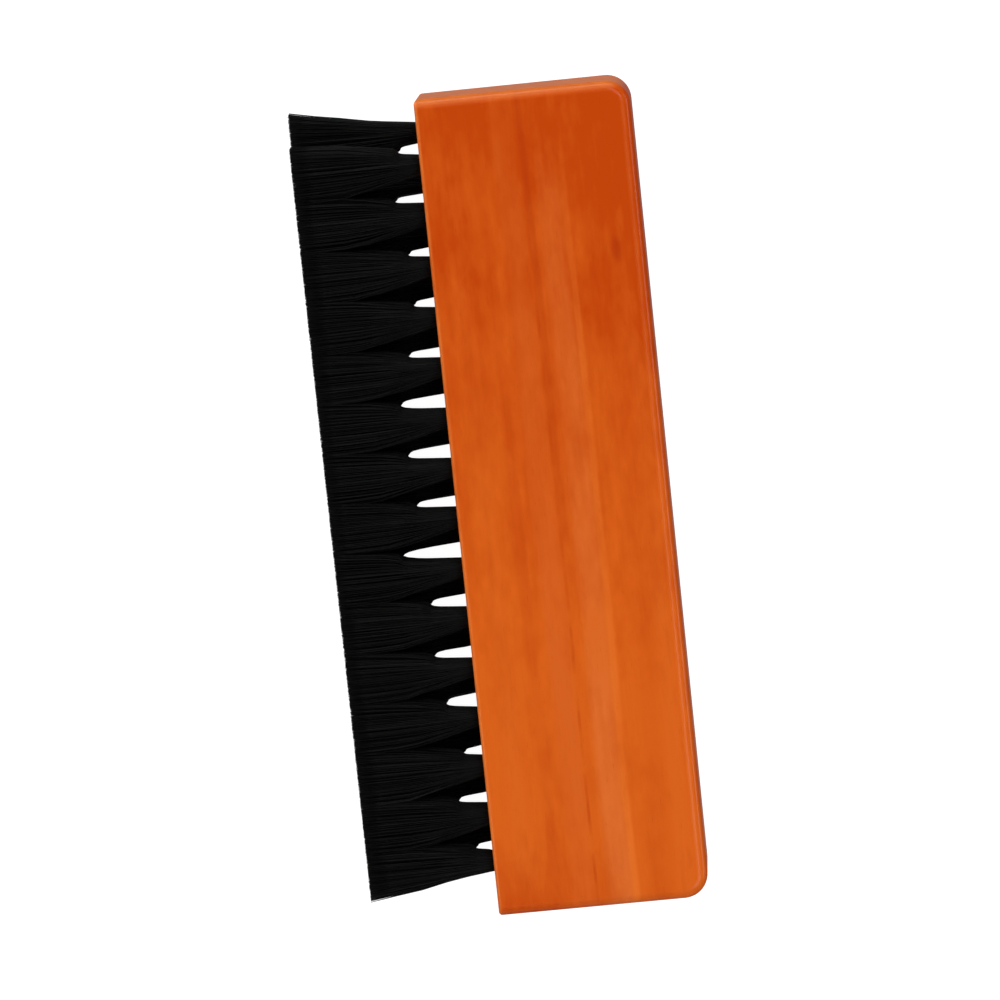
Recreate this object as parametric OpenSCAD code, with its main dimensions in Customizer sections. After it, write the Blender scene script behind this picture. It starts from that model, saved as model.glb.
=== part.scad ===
// Fade brush: a lacquered wooden block with two staggered rows of bristle tufts along one long side.
// It lies on one broad face. X runs from the bristle tips to the spine, Y along the block, Z up.
// The origin is the centre of the block's lower broad face.

/* [Block] */
// Length of the block between its two end faces
block_length = 127; // [122:1:150]
// Width of the block from its bristle face to its spine
block_width = 32.7; // [26:0.1:44]
// Thickness of the block between its two broad faces
block_thickness = 15; // [15:0.5:24]
// Radius of the two outline corners at the spine
spine_corner_radius = 3.8; // [2.5:0.1:8]
// Radius of the two outline corners at the bristle face
face_corner_radius = 0.8; // [0.6:0.1:2.4]
// Radius of the routed edge that runs round the spine and both ends
edge_radius = 1.6; // [0.8:0.1:2.4]
// Radius of the sanded edges along the bristle face
face_edge_radius = 0.45; // [0.2:0.05:0.8]

/* [Tufts] */
// Number of tufts in each of the two rows
tufts_per_row = 15; // [9:1:15]
// Spacing of the tufts along a row
tuft_pitch = 7.8; // [6.4:0.05:7.9]
// Spacing of the two rows across the thickness
row_spacing = 7.2; // [6:0.1:8]
// Shift of the whole field of tufts towards the +Y end
field_shift = 1; // [-1.6:0.1:1.6]
// Diameter of a tuft inside its hole
tuft_diameter = 3.44; // [2.6:0.02:3.44]
// Length of the bristles beyond the bristle face
bristle_length = 19.5; // [12:0.5:28]
// Angle by which the side of a tuft leans out from its root to its tips
tuft_spread = 8.5; // [4:0.5:10]

/* [Holes and anchors] */
// Diameter of the blind hole that holds a tuft
hole_diameter = 3.5; // [3.5:0.05:3.9]
// Depth of the straight part of the hole
hole_depth = 9; // [8:0.5:12]
// Thickness of the flat anchor wire
anchor_thickness = 0.45; // [0.3:0.05:0.6]
// Height of the flat anchor wire, measured along the hole
anchor_height = 2; // [1.4:0.1:2.4]
// Length of anchor that bites into the wood at each end
anchor_bite = 0.4; // [0.2:0.05:0.5]
// Angle between an anchor and the row it stands in
anchor_angle = 45; // [30:5:60]

/* [Hidden] */
$fn = 96;
// How far a cutting shape runs past the surface that it cuts
cut_margin = 1;
// Gap kept between neighbouring tufts where they would meet
tuft_gap = 0.1;
// Least distance from the bristles to the planes of the broad faces
side_clearance = 0.2;
// Included angle at the point of the drill
drill_point_angle = 118;
drill_point_height = hole_diameter / 2 / tan(drill_point_angle / 2);
// Thickness of hair folded under an anchor
fold_depth = 1.3;
anchor_length = hole_diameter + 2 * anchor_bite;
anchor_bottom = -(hole_depth - fold_depth);
tuft_radius = tuft_diameter / 2;
tip_radius = tuft_radius + bristle_length * tan(tuft_spread);
// The two rows stand half a pitch apart along Y
row_stagger = tuft_pitch / 2;
row_height = [
    ["upper", block_thickness / 2 + row_spacing / 2],
    ["lower", block_thickness / 2 - row_spacing / 2]
];

function two_digits(i) = str(i < 10 ? "0" : "", i);
function tuft_name(row, i) = str("tuft_", row, "_", two_digits(i));
function height_of(row) = row == "upper" ? row_height[0][1] : row_height[1][1];
function stagger_of(row) = row == "upper" ? -row_stagger / 2 : row_stagger / 2;
// Tufts are counted from the +Y end of their row
function tuft_y(row, i) = field_shift + stagger_of(row) + ((tufts_per_row + 1) / 2 - i) * tuft_pitch;

// Puts a child at the mouth of a hole, with Z out along the bristles, X up and Y along the row
module at_hole(row, i) {
    translate([-block_width / 2, tuft_y(row, i), height_of(row)])
        rotate([0, -90, 0])
            children();
}

// Section through a routed edge: square at x = 0, rounded at x = width, as high as the block is thick
module edge_section(width) {
    intersection() {
        square([width, block_thickness]);
        union() {
            square([width - edge_radius, block_thickness]);
            translate([0, edge_radius])
                square([width, block_thickness - 2 * edge_radius]);
            for (y = [edge_radius, block_thickness - edge_radius])
                translate([width - edge_radius, y])
                    circle(edge_radius);
        }
    }
}

// The block between the two spine corners, with its spine edges routed
module middle_stretch() {
    straight_length = block_length - 2 * spine_corner_radius;
    translate([-block_width / 2, straight_length / 2, 0])
        rotate([90, 0, 0])
            linear_extrude(straight_length)
                edge_section(block_width);
}

// One end of the block, with its end edges and its spine corner routed; the other end is its mirror image
module end_stretch() {
    corner_x = block_width / 2 - spine_corner_radius;
    corner_y = block_length / 2 - spine_corner_radius;
    translate([-block_width / 2, corner_y, 0])
        rotate([90, 0, 90])
            linear_extrude(block_width - spine_corner_radius)
                edge_section(spine_corner_radius);
    translate([corner_x, corner_y, 0])
        rotate_extrude(angle = 90)
            edge_section(spine_corner_radius);
}

// Takes a square edge along Z, with its solid in the +X +Y quarter, down to a quarter round
module edge_cutter(radius, length) {
    translate([0, 0, -cut_margin])
        linear_extrude(length + 2 * cut_margin)
            difference() {
                translate([-cut_margin, -cut_margin])
                    square(radius + cut_margin);
                translate([radius, radius])
                    circle(radius);
            }
}

// The block's bristle face has rounded corners and sanded long edges
module bristle_face_cuts() {
    for (end = [0, 1])
        mirror([0, end, 0])
            translate([-block_width / 2, -block_length / 2, 0])
                edge_cutter(face_corner_radius, block_thickness);
    for (side = [0, 1])
        translate([-block_width / 2, 0, side * block_thickness])
            mirror([0, 0, side])
                rotate([90, 0, 0])
                    translate([0, 0, -block_length / 2])
                        edge_cutter(face_edge_radius, block_length);
}

// A drilled hole and the two slits that the driven anchor cuts in its wall
module hole_cut() {
    rotate_extrude()
        polygon([
            [0, -hole_depth - drill_point_height],
            [hole_diameter / 2, -hole_depth],
            [hole_diameter / 2, cut_margin],
            [0, cut_margin]
        ]);
    rotate([0, 0, anchor_angle])
        translate([-anchor_length / 2, -anchor_thickness / 2, anchor_bottom])
            cube([anchor_length, anchor_thickness, cut_margin - anchor_bottom]);
}

// The flat wire anchor, across its hole
module anchor() {
    rotate([0, 0, anchor_angle])
        translate([-anchor_length / 2, -anchor_thickness / 2, anchor_bottom])
            cube([anchor_length, anchor_thickness, anchor_height]);
}

// The hair below the bristle face, folded round its anchor at the bottom of the hole
module tuft_root() {
    fold_centre = -hole_depth + tuft_radius;
    difference() {
        union() {
            translate([0, 0, fold_centre])
                cylinder(h = -fold_centre, r = tuft_radius);
            translate([0, 0, fold_centre])
                sphere(r = tuft_radius);
        }
        anchor();
    }
}

// The hair beyond the bristle face, spreading until it meets its neighbours and trimmed flat at the tips
module tuft_spray(row, i) {
    half_row = row_spacing / 2;
    outer_side = block_thickness / 2 - half_row - side_clearance;
    inner_side = half_row - tuft_gap / 2;
    half_cell = (tuft_pitch - tuft_gap) / 2;
    low_x = row == "upper" ? -inner_side : -outer_side;
    high_x = row == "upper" ? outer_side : inner_side;
    // The tufts at the two ends of a row have no neighbour outside them
    low_y = i == tufts_per_row ? -tip_radius : -half_cell;
    high_y = i == 1 ? tip_radius : half_cell;
    intersection() {
        cylinder(h = bristle_length, r1 = tuft_radius, r2 = tip_radius);
        translate([low_x, low_y, 0])
            cube([high_x - low_x, high_y - low_y, bristle_length]);
    }
}

module block() {
    color("#cf571b")
        difference() {
            union() {
                middle_stretch();
                end_stretch();
                mirror([0, 1, 0])
                    end_stretch();
            }
            bristle_face_cuts();
            for (row = row_height, i = [1:tufts_per_row])
                at_hole(row[0], i)
                    hole_cut();
        }
}

module tuft(row, i) {
    color("#141210")
        at_hole(row, i) {
            tuft_root();
            tuft_spray(row, i);
        }
}

module anchors(row) {
    color("#b9bcc0")
        for (i = [1:tufts_per_row])
            at_hole(row, i)
                anchor();
}

block();
for (row = row_height, i = [1:tufts_per_row])
    tuft(row[0], i);
for (row = row_height)
    anchors(row[0]);
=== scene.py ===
"""Fade brush: its looks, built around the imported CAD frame.

Metres, in the frame of the CAD part: X runs from the bristle tips to the spine of the block, Y along
the block, Z up. The brush lies on its lower broad face, on the floor plane. Colours are sRGB, 0 to 255.
"""

import math

import bpy
import numpy as np
from mathutils import Matrix, Vector

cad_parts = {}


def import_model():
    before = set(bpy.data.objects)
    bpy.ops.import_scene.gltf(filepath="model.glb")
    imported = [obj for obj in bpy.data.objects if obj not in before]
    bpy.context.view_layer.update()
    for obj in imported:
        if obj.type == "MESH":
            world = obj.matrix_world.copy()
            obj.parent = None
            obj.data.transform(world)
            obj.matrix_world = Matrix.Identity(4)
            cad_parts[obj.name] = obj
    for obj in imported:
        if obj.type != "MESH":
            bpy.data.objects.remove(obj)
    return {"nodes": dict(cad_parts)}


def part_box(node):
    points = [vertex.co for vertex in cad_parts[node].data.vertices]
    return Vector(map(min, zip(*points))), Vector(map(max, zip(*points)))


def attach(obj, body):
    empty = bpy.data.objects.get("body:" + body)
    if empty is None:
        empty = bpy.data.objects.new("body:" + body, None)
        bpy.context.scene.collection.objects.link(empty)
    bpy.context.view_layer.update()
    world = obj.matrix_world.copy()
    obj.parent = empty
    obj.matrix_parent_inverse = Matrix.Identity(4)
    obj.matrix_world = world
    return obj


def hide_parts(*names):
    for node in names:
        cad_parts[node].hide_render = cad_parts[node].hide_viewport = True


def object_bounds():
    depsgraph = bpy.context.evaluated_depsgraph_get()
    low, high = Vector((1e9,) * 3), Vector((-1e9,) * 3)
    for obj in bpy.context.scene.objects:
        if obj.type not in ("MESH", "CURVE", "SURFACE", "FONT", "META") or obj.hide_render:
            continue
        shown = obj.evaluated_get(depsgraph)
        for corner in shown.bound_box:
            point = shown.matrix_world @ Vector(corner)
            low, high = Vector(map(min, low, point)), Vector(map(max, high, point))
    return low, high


MM = 0.001
SEED = 20

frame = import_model()
cad_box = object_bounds()

# ---------------------------------------------------------------- driving sizes, from the frame

BLOCK_LOW, BLOCK_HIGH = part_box("block")
BLOCK_CENTRE = (BLOCK_LOW + BLOCK_HIGH) / 2
FACE_X = BLOCK_LOW.x
BRISTLE_LENGTH = FACE_X - cad_box[0].x
ROWS = ("upper", "lower")
TUFTS_PER_ROW = sum(name.startswith("tuft_upper_") for name in frame["nodes"])

# The camera looks down on the brush, a little from the +Y end and from the spine side. Angles in degrees.
CAMERA_DISTANCE = 850 * MM
CAMERA_LENS = 198.33
CAMERA_AIM = BLOCK_CENTRE + Vector((-9.907, 0.301, 0.0)) * MM
CAMERA_TILT, CAMERA_TURN, CAMERA_ROLL = (math.radians(a) for a in (8.129, 2.956, -5.976))
CAMERA_DIRECTION = Vector((
    math.sin(CAMERA_TURN) * math.cos(CAMERA_TILT),
    math.sin(CAMERA_TILT),
    math.cos(CAMERA_TILT) * math.cos(CAMERA_TURN),
)).normalized()
CAMERA_AT = CAMERA_AIM + CAMERA_DIRECTION * CAMERA_DISTANCE

# ---------------------------------------------------------------- node tree helpers


def linear(red, green, blue):
    """An sRGB colour of 0 to 255 as the linear RGBA that a shader takes."""
    levels = [c / 255 for c in (red, green, blue)]
    return (*[c / 12.92 if c < 0.04045 else ((c + 0.055) / 1.055) ** 2.4 for c in levels], 1.0)


def grey(level):
    return (level, level, level, 1.0)


class Tree:
    """A node tree under construction. Values given to it may be numbers, colours or node sockets."""

    def __init__(self, tree):
        self.tree = tree
        tree.nodes.clear()

    def put(self, socket, value):
        if isinstance(value, bpy.types.NodeSocket):
            self.tree.links.new(value, socket)
        else:
            socket.default_value = value

    def add(self, kind, inputs=None, **settings):
        node = self.tree.nodes.new("ShaderNode" + kind)
        for name, value in settings.items():
            setattr(node, name, value)
        for name, value in (inputs or {}).items():
            self.put(node.inputs[name], value)
        return node

    def math(self, operation, a, b=0.0, c=0.0):
        return self.add("Math", {0: a, 1: b, 2: c}, operation=operation).outputs[0]

    def scaled(self, vector, amount):
        """A vector or colour times a number."""
        return self.add("VectorMath", {0: vector, "Scale": amount}, operation="SCALE").outputs[0]

    def vector(self, operation, a, b):
        return self.add("VectorMath", {0: a, 1: b}, operation=operation).outputs[0]

    def position(self):
        """The place on the object in millimetres, as a vector and as its three parts."""
        at = self.scaled(self.add("TexCoord").outputs["Object"], 1 / MM)
        return at, *self.add("SeparateXYZ", {0: at}).outputs[:3]

    def noise(self, at, scales, detail=2.0, roughness=0.5):
        """Noise about 0.5 whose features are about 1/scales millimetres along each axis."""
        inputs = {"Vector": self.vector("MULTIPLY", at, scales), "Scale": 1.0, "Detail": detail,
                  "Roughness": roughness, "Distortion": 0.0}
        return self.add("TexNoise", inputs).outputs[0]

    def span(self, value, low, high, to_low=0.0, to_high=1.0, smooth=False):
        """Value taken from low..high to to_low..to_high, and held beyond the ends."""
        node = self.add("MapRange", {0: value, 1: low, 2: high, 3: to_low, 4: to_high},
                        interpolation_type="SMOOTHSTEP" if smooth else "LINEAR")
        return node.outputs[0]

    def band(self, value, place, half_width, softness):
        """1 within half_width of place, and falling smoothly to 0 over the softness beyond."""
        distance = self.math("ABSOLUTE", self.math("SUBTRACT", value, place))
        return self.span(distance, half_width, half_width + softness, 1.0, 0.0, smooth=True)

    def ramp(self, factor, stops, interpolation="EASE"):
        """Factor 0 to 1 taken through colours, each given with its place."""
        node = self.add("ValToRGB", {0: factor})
        node.color_ramp.interpolation = interpolation
        elements = node.color_ramp.elements
        while len(elements) < len(stops):
            elements.new(0.5)
        for element, (place, colour) in zip(elements, stops):
            element.position = place
            element.color = colour
        return node.outputs[0]

    def mix(self, factor, a, b):
        node = self.add("Mix", data_type="RGBA")
        for index, value in ((0, factor), (6, a), (7, b)):
            self.put(node.inputs[index], value)
        return node.outputs[2]

    def bump(self, height, distance, strength):
        return self.add("Bump", {"Strength": strength, "Distance": distance, "Height": height}).outputs[0]


def material(name):
    made = bpy.data.materials.new(name)
    made.use_nodes = True
    return made, Tree(made.node_tree)


def finish_material(tree, inputs):
    shader = tree.add("BsdfPrincipled", inputs)
    output = tree.add("OutputMaterial")
    tree.tree.links.new(shader.outputs[0], output.inputs["Surface"])


def give(node_name, made):
    """Puts a material on a CAD node that stays as it is."""
    data = frame["nodes"][node_name].data
    data.materials.clear()
    data.materials.append(made)


# ---------------------------------------------------------------- lacquered wood

STAIN = (211, 93, 19)
DEEP_STAIN = (188, 65, 0)
DARK_GRAIN = (172, 50, 2)
PORE_COLOUR = (150, 52, 12)
# Growth layers cross the upper broad face at these distances from the bristle face, in millimetres,
# and slope down through the thickness. Each has a place, half width, edge softness, colour, strength.
LAYER_SLOPE = 0.55
LAYERS = [
    (-6.0, 1.2, 1.0, (180, 62, 12), 0.4),
    (4.6, 0.5, 1.6, (214, 100, 28), 0.35),
    (9.1, 0.3, 1.0, (186, 62, 6), 0.2),
    (26.4, 0.5, 2.0, (192, 66, 8), 0.15),
    (29.6, 0.6, 1.2, (214, 102, 34), 0.25),
    (34.5, 0.9, 0.8, (178, 60, 10), 0.45),
    (37.2, 0.6, 0.6, (218, 110, 40), 0.45),
    (40.3, 0.4, 0.5, (174, 56, 10), 0.45),
]
# Paler layers, which take up less stain. Each has two more values, the places along Y between which it
# gives out, in millimetres. The first of them runs on past the +Y end.
PALE_LAYERS = [
    (13.3, 1.0, 1.4, (202, 92, 40), 0.3, 90.0, 120.0),
    (19.3, 0.9, 1.8, (219, 116, 54), 0.5, 40.0, 64.0),
    (21.6, 0.2, 0.7, (226, 114, 38), 0.6, 40.0, 58.0),
]
PALE_LEFT = 0.15
PALE_KEEPS_OUT = 0.32
# The dark grain between the pale layers: a thin broken line, and a wider soft band that shows in the +Y
# half and is all but gone in the -Y half. Each has a place, half width and edge softness, and the band has
# the places along Y where it begins and where it is strongest.
DARK_LINE = (15.45, 0.08, 0.3)
DARK_BAND = (16.1, 0.2, 0.6)
BAND_FROM, BAND_TO = -10.0, 15.0
# A small darker mark on the upper broad face, long along the grain: its centre and half its size, in
# millimetres
MARK_CENTRE = (12.0, 38.0, 15.0)
MARK_SIZE = (1.2, 3.0, 3.0)
MARK_COLOUR = (168, 46, 1)
# The stain is deepest at the +Y end and thins towards the middle. It is deeper again in the corner of the
# -Y end and the bristle face, and near the spine in the +Y half. Each has its places along Y, from
# none to most, in millimetres, and the last two have their places along X.
DEEP_FROM, DEEP_TO = -34.0, 62.0
CORNER_FROM, CORNER_TO, CORNER_ACROSS = -48.0, -66.0, (10.0, -10.0)
SPINE_FROM, SPINE_TO, SPINE_ACROSS = 12.0, 36.0, (6.0, 13.0)
# The +Y end and its rounded edges are painted paler: painted light, where the light from the +Y side falls
# on them.
# The sharp edges of the bristle face are paler where stain and lacquer have worn thin, with a painted
# highlight there too, and where the rounded edge of the spine begins runs a thin painted highlight line.
# In millimetres in from those sides: where each begins to fade and where it is gone, and for the spine
# line its place, half width and edge softness.
END_PAINTED_LIGHT = (0.0, 1.7)
FACE_EDGE_WEAR_AND_HIGHLIGHT = (0.2, 0.7)
SPINE_PAINTED_HIGHLIGHT = (1.2, 0.1, 0.5)
# Colours of the painted light on the +Y end, and of the edges' wear and painted highlights
PAINTED_END_LIGHT_COLOUR = (216, 114, 42)
EDGE_WEAR_AND_HIGHLIGHT_COLOUR = (224, 122, 52)


def growth_layers(t, layer, y, breaks):
    """The stain's colour with the layers in it, and a mask of the paler layers."""
    colour = linear(*STAIN)
    for place, half, soft, tint, strength in LAYERS:
        mask = t.math("MULTIPLY", t.band(layer, place, half, soft), breaks)
        colour = t.mix(t.math("MULTIPLY", mask, strength), colour, linear(*tint))
    pale = 0.0
    for place, half, soft, tint, strength, until, gone in PALE_LAYERS:
        present = t.math("MULTIPLY", breaks, t.span(y, until, gone, 1.0, PALE_LEFT))
        mask = t.math("MULTIPLY", t.band(layer, place, half, soft), present)
        colour = t.mix(t.math("MULTIPLY", mask, strength), colour, linear(*tint))
        pale = t.math("MAXIMUM", pale, mask)
    return colour, pale


def thin_dark_line(t, at, layer):
    """Strength of the thin line, which is broken up along the grain."""
    gaps = t.span(t.noise(at, (0.2, 0.16, 0.2), detail=3.0), 0.4, 0.65)
    return t.math("MULTIPLY", t.band(layer, *DARK_LINE), t.math("MULTIPLY_ADD", gaps, 0.4, 0.06))


def stain_depth(t, x, y, uneven, pale):
    """How deeply the stain has taken, 0 to 1. Uneven lists amounts and the noises they belong to."""
    deep = t.span(y, DEEP_FROM, DEEP_TO, 0.0, 0.95)
    corner = t.math("MULTIPLY", t.span(y, CORNER_FROM, CORNER_TO, 0.0, 0.8), t.span(x, *CORNER_ACROSS))
    by_spine = t.math("MULTIPLY", t.span(y, SPINE_FROM, SPINE_TO, 0.0, 0.3), t.span(x, *SPINE_ACROSS))
    deep = t.math("ADD", t.math("ADD", deep, corner), by_spine)
    for amount, noise in uneven:
        deep = t.math("MULTIPLY_ADD", t.math("SUBTRACT", noise, 0.5), amount, deep)
    deep = t.math("MULTIPLY", deep, t.math("SUBTRACT", 1.0, t.math("MULTIPLY", pale, PALE_KEEPS_OUT)))
    return t.math("MINIMUM", t.math("MAXIMUM", deep, 0.0), 1.0)


def dark_mark(t, at):
    """Strength of the mark: most in its middle, none beyond its size."""
    away = t.vector("DIVIDE", t.vector("SUBTRACT", at, MARK_CENTRE), MARK_SIZE)
    distance = t.add("VectorMath", {0: away}, operation="LENGTH").outputs["Value"]
    return t.span(distance, 0.2, 1.0, 0.6, 0.0, smooth=True)


def wear_and_painted_light(t, colour, at, x, y, across):
    """Colour with painted light on the +Y end, a painted highlight line along the spine, and wear with a
    painted highlight on the bristle face's edges.
    """
    patchiness = t.span(t.noise(at, (0.4, 0.15, 0.4), detail=3.0), 0.35, 0.65, 0.35, 1.0)
    # Painted light: the +Y end and its rounded edges are painted paler, where the light from that side
    # falls, in uneven patches
    end = t.span(t.math("SUBTRACT", BLOCK_HIGH.y / MM, y), *END_PAINTED_LIGHT, 0.85, 0.0, smooth=True)
    end = t.math("MULTIPLY", end, t.math("MULTIPLY_ADD", patchiness, 0.3, 0.75))
    colour = t.mix(end, colour, linear(*PAINTED_END_LIGHT_COLOUR))
    # The bristle face's sharp edges: paler where stain and lacquer are worn thin, and a painted highlight
    # as well
    face = t.span(across, *FACE_EDGE_WEAR_AND_HIGHLIGHT, 0.7, 0.0, smooth=True)
    # Painted highlight: a thin paler line where the rounded edge of the spine begins
    spine = t.band(t.math("SUBTRACT", BLOCK_HIGH.x / MM, x), *SPINE_PAINTED_HIGHLIGHT)
    edges = t.math("MAXIMUM", face, t.math("MULTIPLY", spine, 0.15))
    return t.mix(t.math("MULTIPLY", edges, patchiness), colour, linear(*EDGE_WEAR_AND_HIGHLIGHT_COLOUR))


def lacquered_wood():
    """Orange-brown stained wood with its grain along Y, under a thin clear lacquer."""
    made, t = material("lacquered_wood")
    at, x, y, z = t.position()
    fibres = t.noise(at, (3.0, 0.12, 3.0), detail=4.0, roughness=0.6)
    streaks = t.noise(at, (0.55, 0.03, 0.55), detail=3.0, roughness=0.6)
    clouds = t.noise(at, (0.22, 0.09, 0.22), detail=3.0, roughness=0.55)
    patches = t.noise(at, (0.7, 0.25, 0.7))
    pores = t.span(t.noise(at, (6.0, 0.45, 6.0), roughness=0.6), 0.66, 0.74)

    # Distance across the growth layers, gently wavy along the block
    wave = t.math("MULTIPLY_ADD", t.noise(at, (0.03, 0.014, 0.03)), 2.0, -1.0)
    across = t.math("SUBTRACT", x, FACE_X / MM)
    depth = t.math("SUBTRACT", BLOCK_HIGH.z / MM, z)
    layer = t.math("ADD", t.math("MULTIPLY_ADD", depth, LAYER_SLOPE, across), wave)
    breaks = t.span(t.noise(at, (0.12, 0.045, 0.12)), 0.3, 0.6, 0.35, 1.0)

    colour, pale = growth_layers(t, layer, y, breaks)
    colour = t.mix(thin_dark_line(t, at, layer), colour, linear(*DARK_GRAIN))
    deep = stain_depth(t, x, y, ((1.1, clouds), (0.7, patches), (0.7, streaks)), pale)
    colour = t.mix(deep, colour, linear(*DEEP_STAIN))
    band = t.math("MULTIPLY", t.band(layer, *DARK_BAND), t.span(y, BAND_FROM, BAND_TO, 0.05, 0.42))
    colour = t.mix(t.math("MULTIPLY", band, breaks), colour, linear(*DARK_GRAIN))
    colour = t.mix(dark_mark(t, at), colour, linear(*MARK_COLOUR))
    # Painted light on the +Y end, painted highlights on the edges, and the bristle face edges' wear
    colour = wear_and_painted_light(t, colour, at, x, y, across)
    colour = t.scaled(colour, t.math("MULTIPLY_ADD", fibres, 0.08, 0.96))
    colour = t.mix(t.math("MULTIPLY", pores, 0.3), colour, linear(*PORE_COLOUR))

    relief = t.math("SUBTRACT", t.math("MULTIPLY", fibres, 0.3), t.math("MULTIPLY", pores, 0.7))
    ripple = t.noise(at, (0.25, 0.1, 0.25))
    finish_material(t, {
        "Base Color": colour,
        "Roughness": t.math("MULTIPLY_ADD", streaks, 0.16, 0.4),
        "Normal": t.bump(relief, 0.02 * MM, 0.35),
        "Specular IOR Level": 0.03,
        "Coat Weight": 0.3,
        "Coat Roughness": 0.17,
        "Coat IOR": 1.5,
        "Coat Normal": t.bump(ripple, 0.05 * MM, 0.4),
    })
    return made


# ---------------------------------------------------------------- anchor wire

DULL_STEEL = (176, 178, 182)
BRIGHT_STEEL = (206, 207, 208)


def anchor_wire():
    """Drawn steel wire, rolled flat: faint lines along it and a little dulling."""
    made, t = material("anchor_wire")
    at, *_ = t.position()
    lines = t.noise(at, (1.5, 1.5, 14.0), detail=3.0, roughness=0.6)
    dull = t.noise(at, (1.2, 1.2, 1.2))
    colour = t.mix(dull, linear(*DULL_STEEL), linear(*BRIGHT_STEEL))
    finish_material(t, {
        "Base Color": colour,
        "Metallic": 1.0,
        "Roughness": t.math("MULTIPLY_ADD", lines, 0.25, 0.22),
        "Normal": t.bump(lines, 0.01 * MM, 0.5),
    })
    return made


# ---------------------------------------------------------------- bristle

STRAND_RADIUS = 0.08 * MM
STRANDS_PER_TUFT = 700
STRAND_SIDES = 3
# Radius of a strand at its cut tip, as a share of its radius
TIP_TAPER = 0.6
GOLDEN_ANGLE = math.pi * (3 - math.sqrt(5))
# From the darkest strands to the lightest, with the place of each between them
STRAND_COLOURS = [(0.0, (7, 7, 7)), (0.8, (8, 8, 8)), (1.0, (12, 11, 11))]


def bristle():
    """Black bristle: near-black strands, some browner and duller than others."""
    made, t = material("bristle")
    at, *_ = t.position()
    strand = t.add("Attribute", attribute_name="strand").outputs["Fac"]
    along = t.noise(at, (0.25, 2.0, 2.0))
    tone = t.math("MULTIPLY", strand, t.math("MULTIPLY_ADD", along, 0.8, 0.6))
    scales = t.noise(at, (1.5, 12.0, 12.0))
    finish_material(t, {
        "Base Color": t.ramp(tone, [(place, linear(*tint)) for place, tint in STRAND_COLOURS], "LINEAR"),
        "Roughness": t.math("MULTIPLY_ADD", along, 0.3, 0.3),
        "Specular IOR Level": 0.11,
        "Normal": t.bump(scales, 0.01 * MM, 0.4),
    })
    return made


# Each gap between a lower tuft and the upper tuft next to it, from the +Y end, in millimetres: its width
# at the wood, the distance from the wood at which it closes, and how far it stands off towards -Y. The
# bristle has settled unevenly.
GAPS = [
    (1.85, 3.25, 0.06), (1.52, 4.50, -0.18), (1.50, 3.35, 0.34), (1.65, 3.35, 0.35), (1.62, 5.00, 0.32),
    (2.33, 7.05, 0.05), (2.30, 6.75, 0.09), (1.80, 6.25, 0.15), (2.55, 9.30, 0.00), (2.16, 5.70, 0.09),
    (1.95, 5.95, 0.48), (2.35, 4.90, 0.23), (1.60, 2.95, 0.45), (1.75, 4.60, 0.11), (1.50, 2.60, -0.08),
]
# Half the room a tuft has along its row, with its tips reaching in among the next tuft's, and across it
ALONG_LIMIT = 4.3 * MM
ACROSS_LIMIT = 3.5 * MM
# How fast a tuft spreads, as half width gained for each length: across its row, and along it on the side
# away from its gap, from the least to the most
ACROSS_SLOPE = 0.2
AWAY_SLOPES = (0.25, 0.30)
# Beyond a gap's end its two tufts spring together over a short length and then spread calmly
SPRING_SLOPE, CALM_SLOPE, SPRING_LENGTH = 1.2, 0.15, 0.35 * MM
# Along a gap a side leans in evenly by one share of the way, and rounds in at its end by the other. A
# higher power makes the end blunter.
EVEN_SHARE, ROUND_SHARE, BLUNTNESS = 0.45, 0.55, 12
# The length over which bristle swells out over the rim of its hole, and how far past a gap's end the
# hair of its two tufts starts to cross
SWELL_LENGTH = 0.35 * MM
CROSSING = 0.2 * MM


def tuft_hole(name):
    """Centre (y, z) of the hole a tuft stands in and the tuft's radius there, from its CAD node."""
    inside = [v.co for v in frame["nodes"][name].data.vertices if v.co.x > FACE_X + 0.5 * MM]
    ys, zs = [co.y for co in inside], [co.z for co in inside]
    radius = (max(ys) - min(ys)) / 2
    return (min(ys) + max(ys)) / 2, (min(zs) + max(zs)) / 2, radius


def full_gap(index):
    """Width of a gap as the camera sees it, between a lower and an upper tuft that fill their holes."""
    (lower_y, lower_z, radius), (upper_y, upper_z, _) = (
        tuft_hole(f"tuft_{row}_{index:02d}") for row in ("lower", "upper"))
    slope = (CAMERA_AT.y - lower_y) / CAMERA_AT.z
    return lower_y - upper_y + (upper_z - lower_z) * slope - 2 * radius


# Each side of a tuft is a function from distance from the wood to half width, both in metres.


def held(half_width, limit, sharpness=6):
    """A half width that grows freely at first and is then held at a limit by the bristle beside it."""
    return (half_width**-sharpness + limit**-sharpness) ** (-1 / sharpness)


def plain_side(radius, slope, limit):
    return lambda s: held(radius + slope * s, limit)


def gap_side(radius, start, half, reach, limit):
    """A side along a gap: from start it leans in across half of it, and at its end the hair crosses."""

    def side(s):
        share = np.minimum(s / reach, 1)
        beyond = np.maximum(s - reach, 0)
        swell = max(start - radius, 0) * np.exp(-s / SWELL_LENGTH)
        lean = half * (EVEN_SHARE * share + ROUND_SHARE * (1 - np.sqrt(1 - share**BLUNTNESS)))
        sprung = (SPRING_SLOPE - CALM_SLOPE) * SPRING_LENGTH * (1 - np.exp(-beyond / SPRING_LENGTH))
        return held(start - swell + lean + sprung + CALM_SLOPE * beyond, limit)

    return side


def free_side(radius, slope, flare):
    """A side with no neighbour, flaring by the given length at the tips."""
    return lambda s: radius + slope * s + flare * (s / BRISTLE_LENGTH) ** 4


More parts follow.
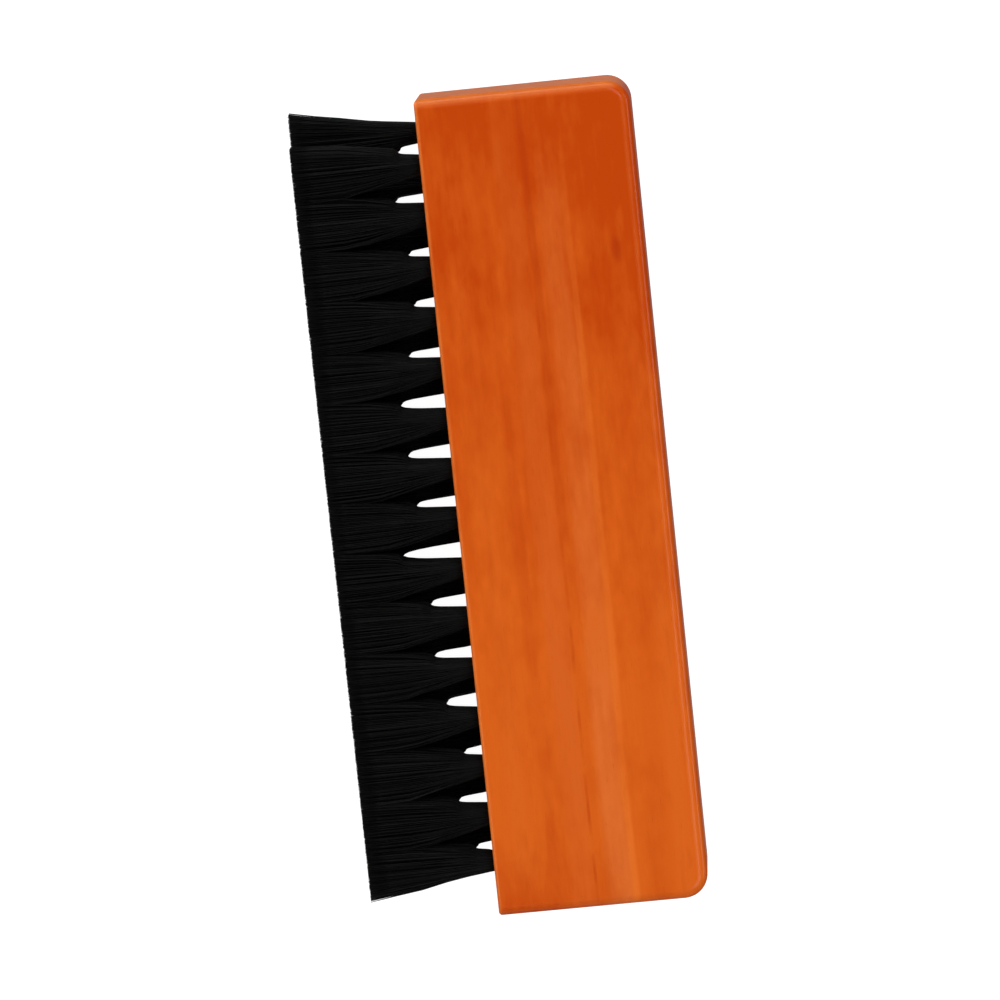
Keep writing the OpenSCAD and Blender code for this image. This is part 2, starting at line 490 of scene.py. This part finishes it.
def tuft_sides(row, index, radius, rng):
    """The four sides of a tuft: along its row, -Y and +Y, and across it, lower and upper."""
    width, reach, stand_off = (size * MM for size in GAPS[index - 1])
    start = radius - (width - full_gap(index)) / 2 + (stand_off if row == "lower" else -stand_off)
    at_gap = gap_side(radius, start, width / 2, reach + CROSSING, ALONG_LIMIT)
    away = plain_side(radius, rng.uniform(*AWAY_SLOPES), ALONG_LIMIT)
    # The two tufts that end the field have no neighbour outside them
    if row == "lower" and index == 1:
        away = free_side(radius, 0.13, 0.5 * MM)
    if row == "upper" and index == TUFTS_PER_ROW:
        away = free_side(radius - 0.4 * MM, 0.12, 0.3 * MM)
    along = (at_gap, away) if row == "lower" else (away, at_gap)
    up_or_down = plain_side(radius, ACROSS_SLOPE, ACROSS_LIMIT)
    return along, (up_or_down, up_or_down)


# How the strands of a tuft vary. Scatter is in half widths of the tuft; it, the shift of a lock and the
# bend are standard deviations, and a pair is a range. Strays are the few that stand out from the rest.
SCATTER = 0.06
LOCKS = 26
LOCK_SHIFT = 0.03 * MM
LOCK_PULL = 0.04
BEND = 0.07 * MM
EXTRA_LENGTH = (0.02 * MM, 0.14 * MM)
STRAY_SHARE = 0.015
STRAY_LENGTH = (-0.3 * MM, 0.1 * MM)
STRAY_BEND = 1.8
# The cut face of the bristle leans a little, so that its lower edge stands out furthest
TRIM_SLOPE = 0.035
# A tuft is round at its hole and has become square by this share of its length
SQUARE_BY = 0.55
# Places along a strand where it bends: as shares of the way along the gap, then of the way from there on
NEAR_STEPS = np.array([0, 0.1, 0.25, 0.5, 0.75, 0.9, 0.97, 1.05, 1.25])
FAR_STEPS = np.array([0.25, 0.5, 0.75, 1.0])
# In its hole a strand is pressed aside by this share of what clears the anchor, and the fold under the
# anchor reaches deeper by this share of a strand's distance from its middle
ANCHOR_ANGLE = math.radians(45)
ANCHOR_HALF_THICKNESS = 0.225 * MM
PRESSED_SHARE = 0.98
FOLD_ROUNDNESS = 0.5


def places_in_tuft(rng):
    """Each strand's place across its tuft, in half widths: in the round hole, and in the square that its
    neighbours leave it further out."""
    order = np.arange(STRANDS_PER_TUFT)
    rho = np.sqrt((order + 0.5) / STRANDS_PER_TUFT)
    angle = order * GOLDEN_ANGLE + rng.uniform(0, math.tau)
    unit = np.stack([rho * np.cos(angle), rho * np.sin(angle)], 1)
    square = unit * (rho / np.abs(unit).max(1))[:, None] + rng.normal(0, SCATTER, unit.shape)
    return unit, np.clip(square, -1, 1)


def drawn_locks(square, rng):
    """Strands draw together in locks: the lock of each strand, and each lock's centre."""
    seeds = rng.uniform(-1, 1, (LOCKS, 2))
    lock = np.argmin(((square[:, None] - seeds[None]) ** 2).sum(2), 1)
    centres = [square[lock == k].mean(0) if (lock == k).any() else (0, 0) for k in range(LOCKS)]
    return lock, np.array(centres)


def strand_lengths(square, hole_height, across_row, rng):
    """Each strand's length beyond the wood, and which strands are strays."""
    count = len(square)
    length = BRISTLE_LENGTH + rng.uniform(*EXTRA_LENGTH, count)
    stray = rng.random(count) < STRAY_SHARE
    length += stray * rng.uniform(*STRAY_LENGTH, count)
    below, above = (side(BRISTLE_LENGTH) for side in across_row)
    tip_height = hole_height + square[:, 1] * np.where(square[:, 1] < 0, below, above)
    return length + TRIM_SLOPE * (BLOCK_HIGH.z - tip_height), stray


def rooted(unit, hole_radius):
    """Where each strand runs in its hole: down one side of the anchor, and in under it at the fold."""
    anchor_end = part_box("anchors_upper")[1].x
    across = np.array([-math.sin(ANCHOR_ANGLE), math.cos(ANCHOR_ANGLE)])
    place = unit * (hole_radius - STRAND_RADIUS)
    off = place @ across
    clear = ANCHOR_HALF_THICKNESS + STRAND_RADIUS
    pressed = np.sign(off) * (clear + np.abs(off) * (1 - clear / hole_radius))
    beside = place + (pressed - off)[:, None] * across * PRESSED_SHARE
    folded = place - off[:, None] * across
    depth = anchor_end - FACE_X
    fold_depth = depth + clear + FOLD_ROUNDNESS * np.abs(off)
    beside = np.column_stack([np.full(len(unit), -depth), beside])
    folded = np.column_stack([-fold_depth, folded])
    return np.stack([folded, beside], 1)


def strand_lines(hole, sides, reach, rng):
    """Centre lines of a tuft's strands, as an array of strand, point and coordinate, and their tones."""
    y, z, hole_radius = hole
    unit, square = places_in_tuft(rng)
    lock, centres = drawn_locks(square, rng)
    lock_shift = rng.normal(0, LOCK_SHIFT, (LOCKS, 2))
    length, stray = strand_lengths(square, z, sides[1], rng)
    bend = rng.normal(0, BEND, square.shape) * np.where(stray, STRAY_BEND, 1.0)[:, None]

    near = NEAR_STEPS * reach / BRISTLE_LENGTH
    steps = np.concatenate([near, near[-1] + (1 - near[-1]) * FAR_STEPS])
    out = steps[None] * length[:, None]
    share = out / BRISTLE_LENGTH
    squared = np.clip(share / SQUARE_BY, 0, 1)[..., None] ** 1.5
    drawn = unit[:, None] * (1 - squared) + square[:, None] * squared
    drawn = drawn + (centres[lock] - square)[:, None] * (LOCK_PULL * share**1.5)[..., None]
    offset = np.empty((*out.shape, 2))
    for axis, (minus, plus) in enumerate(sides):
        offset[..., axis] = drawn[..., axis] * np.where(drawn[..., axis] < 0, minus(out), plus(out))
    offset += (lock_shift[lock][:, None] + bend[:, None]) * (share**2)[..., None]

    beyond = np.concatenate([out[..., None], offset], 2)
    lines = np.concatenate([rooted(unit, hole_radius), beyond], 1)
    lines[..., 0] = FACE_X - lines[..., 0]
    lines[..., 1] += y
    # Nothing reaches through the table top
    lines[..., 2] = np.maximum(z + lines[..., 2], 2 * STRAND_RADIUS)
    tones = 0.5 * rng.random(len(unit)) + 0.5 * rng.random(LOCKS)[lock]
    return lines, tones


def strand_mesh(name, lines, tones, rng):
    """A mesh with a thin prism along each line. Each strand carries its tone."""
    strands, points, _ = lines.shape
    corner = np.arange(STRAND_SIDES)[None, None]
    turn = rng.uniform(0, math.tau, (strands, 1, 1)) + corner * math.tau / STRAND_SIDES
    taper = np.ones(points)
    taper[-1] = TIP_TAPER
    ring = np.stack([np.zeros_like(turn), np.cos(turn), np.sin(turn)], 3) * STRAND_RADIUS
    places = lines[:, :, None] + ring * taper[None, :, None, None]

    ring_start = np.arange(strands)[:, None, None] * points + np.arange(points - 1)[None, :, None]
    here = ring_start * STRAND_SIDES + corner
    beside = ring_start * STRAND_SIDES + (corner + 1) % STRAND_SIDES
    quads = np.stack([here, here + STRAND_SIDES, beside + STRAND_SIDES, beside], 3).reshape(-1, 4)
    last_ring = np.arange(strands)[:, None] * points + points - 1
    tips = last_ring * STRAND_SIDES + np.arange(STRAND_SIDES)[None, ::-1]

    mesh = bpy.data.meshes.new(name)
    mesh.vertices.add(strands * points * STRAND_SIDES)
    mesh.vertices.foreach_set("co", places.astype(np.float32).ravel())
    loops = np.concatenate([quads.ravel(), tips.ravel()])
    mesh.loops.add(len(loops))
    mesh.loops.foreach_set("vertex_index", loops.astype(np.int32))
    sizes = np.concatenate([np.full(len(quads), 4), np.full(len(tips), STRAND_SIDES)])
    starts = np.concatenate([[0], np.cumsum(sizes)[:-1]])
    mesh.polygons.add(len(sizes))
    mesh.polygons.foreach_set("loop_start", starts.astype(np.int32))
    mesh.polygons.foreach_set("use_smooth", np.ones(len(sizes), bool))
    tone = mesh.attributes.new("strand", "FLOAT", "POINT")
    tone.data.foreach_set("value", np.repeat(tones, points * STRAND_SIDES).astype(np.float32))
    mesh.update(calc_edges=True)
    mesh.validate()
    return mesh


def tuft(row, index, made):
    """One tuft of bristle, standing for its CAD node."""
    node = f"tuft_{row}_{index:02d}"
    rng = np.random.default_rng([SEED, ROWS.index(row), index])
    hole = tuft_hole(node)
    sides = tuft_sides(row, index, hole[2], rng)
    reach = GAPS[index - 1][1] * MM
    lines, tones = strand_lines(hole, sides, reach, rng)
    piece = bpy.data.objects.new(f"bristle_{row}_{index:02d}", strand_mesh(node, lines, tones, rng))
    bpy.context.scene.collection.objects.link(piece)
    piece.data.materials.append(made)
    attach(piece, "root")
    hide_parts(node)


# ---------------------------------------------------------------- stage, light and camera

FLOOR_HALF = 3.0
# The floor lies just under the brush, so that the two surfaces don't coincide
FLOOR_DROP = 0.05 * MM
# Soft boxes stand round the brush at one height: azimuth and radiance of each
BOXES = ((45, 3.1), (135, 3.3), (225, 3.05), (315, 2.75))
BOX_ELEVATION, BOX_DISTANCE, BOX_SIZE = 56, 1.6, (0.8, 0.8)
# Panels light the +Y end and the spine: azimuth, elevation, size and radiance of each
PANEL_DISTANCE = 1.4
PANELS = {
    "end_panel": (90, 30, (1.2, 1.1), 1.1),
    "low_end_panel": (90, 7, (1.4, 0.4), 3.6),
    "spine_strip": (0, 58, (1.0, 0.3), 0.5),
    "low_spine_panel": (0, 7, (1.4, 0.4), 3.5),
}
# Brightness of the surroundings from straight down, at 0, to straight up, at 1
SURROUNDINGS = [(0.0, 0.33), (0.49, 0.33), (0.5, 0.8), (0.56, 0.7), (0.7, 0.22), (1.0, 0.08)]
SPINE_SIDE_DIMMING = 0.12


def floor():
    """A plain white table top that glows a little, as one lit from below does."""
    mesh = bpy.data.meshes.new("floor")
    z = BLOCK_LOW.z - FLOOR_DROP
    corners = [(-1, -1), (1, -1), (1, 1), (-1, 1)]
    mesh.from_pydata([(x * FLOOR_HALF, y * FLOOR_HALF, z) for x, y in corners], [], [(0, 1, 2, 3)])
    piece = bpy.data.objects.new("floor", mesh)
    bpy.context.scene.collection.objects.link(piece)
    made, t = material("table_top")
    finish_material(t, {
        "Base Color": grey(0.25),
        "Roughness": 0.9,
        "Specular IOR Level": 0.0,
        "Emission Color": grey(1.0),
        "Emission Strength": 0.98,
    })
    mesh.materials.append(made)
    piece.visible_diffuse = False
    piece.visible_glossy = False


def aimed(location, target, up=Vector((0, 0, 1))):
    """A matrix for a light or camera at location that looks at target."""
    back = (location - target).normalized()
    right = up.cross(back).normalized()
    turn = Matrix((right, back.cross(right), back)).transposed()
    return Matrix.Translation(location) @ turn.to_4x4()


def soft_box(name, azimuth, elevation, distance, size, radiance):
    """A soft light, size wide and high, aimed at the block. Azimuth runs from +X towards +Y and elevation
    from the floor up, in degrees."""
    light = bpy.data.lights.new(name, "AREA")
    light.shape = "RECTANGLE"
    light.size, light.size_y = size
    light.energy = radiance * math.pi * light.size * light.size_y
    piece = bpy.data.objects.new(name, light)
    bpy.context.scene.collection.objects.link(piece)
    a, e = math.radians(azimuth), math.radians(elevation)
    direction = Vector((math.cos(a) * math.cos(e), math.sin(a) * math.cos(e), math.sin(e)))
    piece.matrix_world = aimed(BLOCK_CENTRE + direction * distance, BLOCK_CENTRE)


def world():
    """Plain white surroundings, brightest low down, and dimmer overhead and on the spine side."""
    made = bpy.data.worlds.new("studio")
    bpy.context.scene.world = made
    made.use_nodes = True
    t = Tree(made.node_tree)
    direction = t.add("SeparateXYZ", {0: t.add("TexCoord").outputs["Generated"]}).outputs
    height = t.span(direction[2], -1.0, 1.0)
    light = t.ramp(height, [(place, grey(level)) for place, level in SURROUNDINGS])
    light = t.scaled(light, t.span(direction[0], 0.0, 0.8, 1.0, SPINE_SIDE_DIMMING))
    background = t.add("Background", {"Color": light, "Strength": 1.0})
    output = t.add("OutputWorld")
    t.tree.links.new(background.outputs[0], output.inputs["Surface"])


def camera():
    data = bpy.data.cameras.new("camera")
    data.lens = CAMERA_LENS
    data.sensor_width = 36
    data.clip_start, data.clip_end = 0.01, 10
    piece = bpy.data.objects.new("camera", data)
    bpy.context.scene.collection.objects.link(piece)
    level = aimed(CAMERA_AT, CAMERA_AIM, up=Vector((0, 1, 0)))
    piece.matrix_world = level @ Matrix.Rotation(CAMERA_ROLL, 4, "Z")
    bpy.context.scene.camera = piece


# ---------------------------------------------------------------- assembly

give("block", lacquered_wood())
wire = anchor_wire()
for row in ROWS:
    give(f"anchors_{row}", wire)
black = bristle()
for row in ROWS:
    for index in range(1, TUFTS_PER_ROW + 1):
        tuft(row, index, black)

floor()
world()
for azimuth, radiance in BOXES:
    soft_box(f"box_{azimuth}", azimuth, BOX_ELEVATION, BOX_DISTANCE, BOX_SIZE, radiance)
for name, (azimuth, elevation, size, radiance) in PANELS.items():
    soft_box(name, azimuth, elevation, PANEL_DISTANCE, size, radiance)
camera()
bpy.context.scene.view_settings.view_transform = "Standard"
